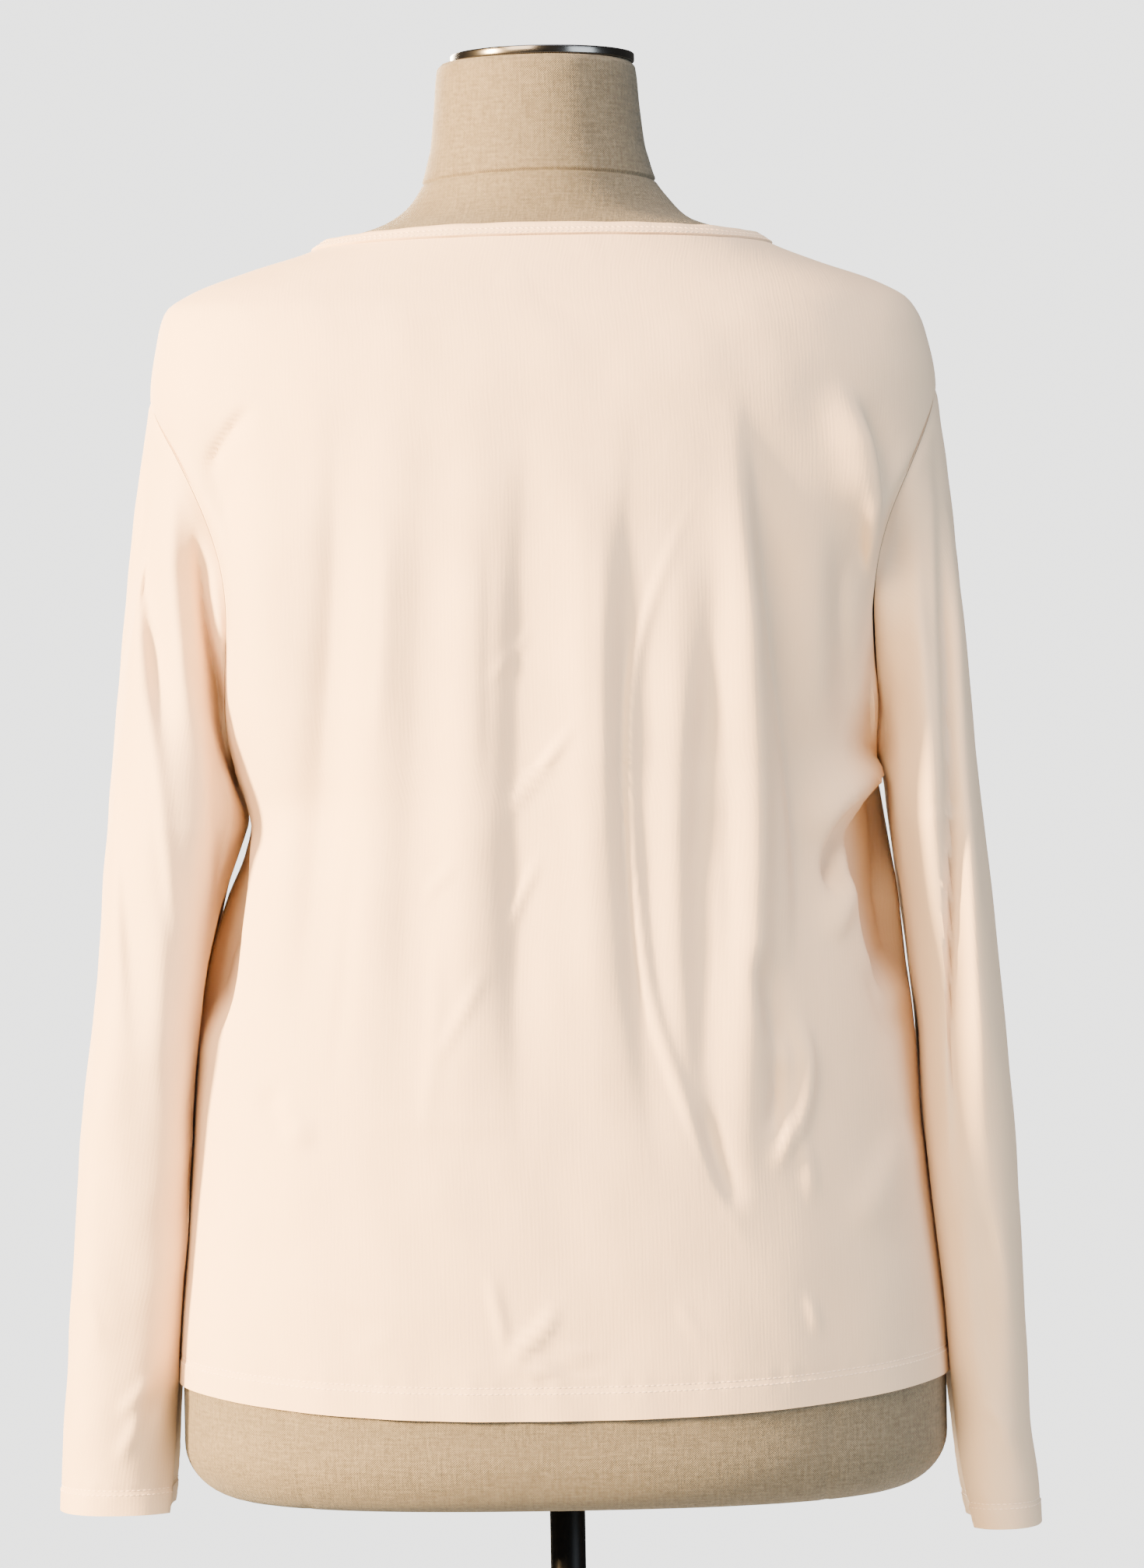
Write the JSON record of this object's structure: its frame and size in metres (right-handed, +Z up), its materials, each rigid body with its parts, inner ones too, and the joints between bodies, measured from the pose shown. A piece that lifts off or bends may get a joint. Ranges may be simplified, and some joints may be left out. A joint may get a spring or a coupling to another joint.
{
  "type": "long-sleeve t-shirt on a dress form",
  "caption": "Long-sleeve jersey t-shirt with a wide bound neckline, loose on a limbless linen dress form with a neck plate, a pole and a round base.",
  "frame": {"origin": "on the floor, at the centre of the round base's underside", "axes": "+Z up, -Y towards the front of the shirt, +X towards the wearer's left sleeve"},
  "size_m": [0.5343, 0.38, 1.5851],
  "materials": {
    "jersey": "matt fine knit, pale beige",
    "linen": "plain weave, natural tan",
    "dark_chrome": "polished, darkened",
    "black_steel": "black satin"
  },
  "bodies": {
    "root": {"back_panel": "jersey", "front_panel": "jersey", "sleeve_left": "jersey", "sleeve_right": "jersey", "neck_binding": "jersey", "dress_form": "linen", "neck_plate": "dark_chrome", "stand_pole": "black_steel", "stand_base": "black_steel"}
  },
  "joints": []
}
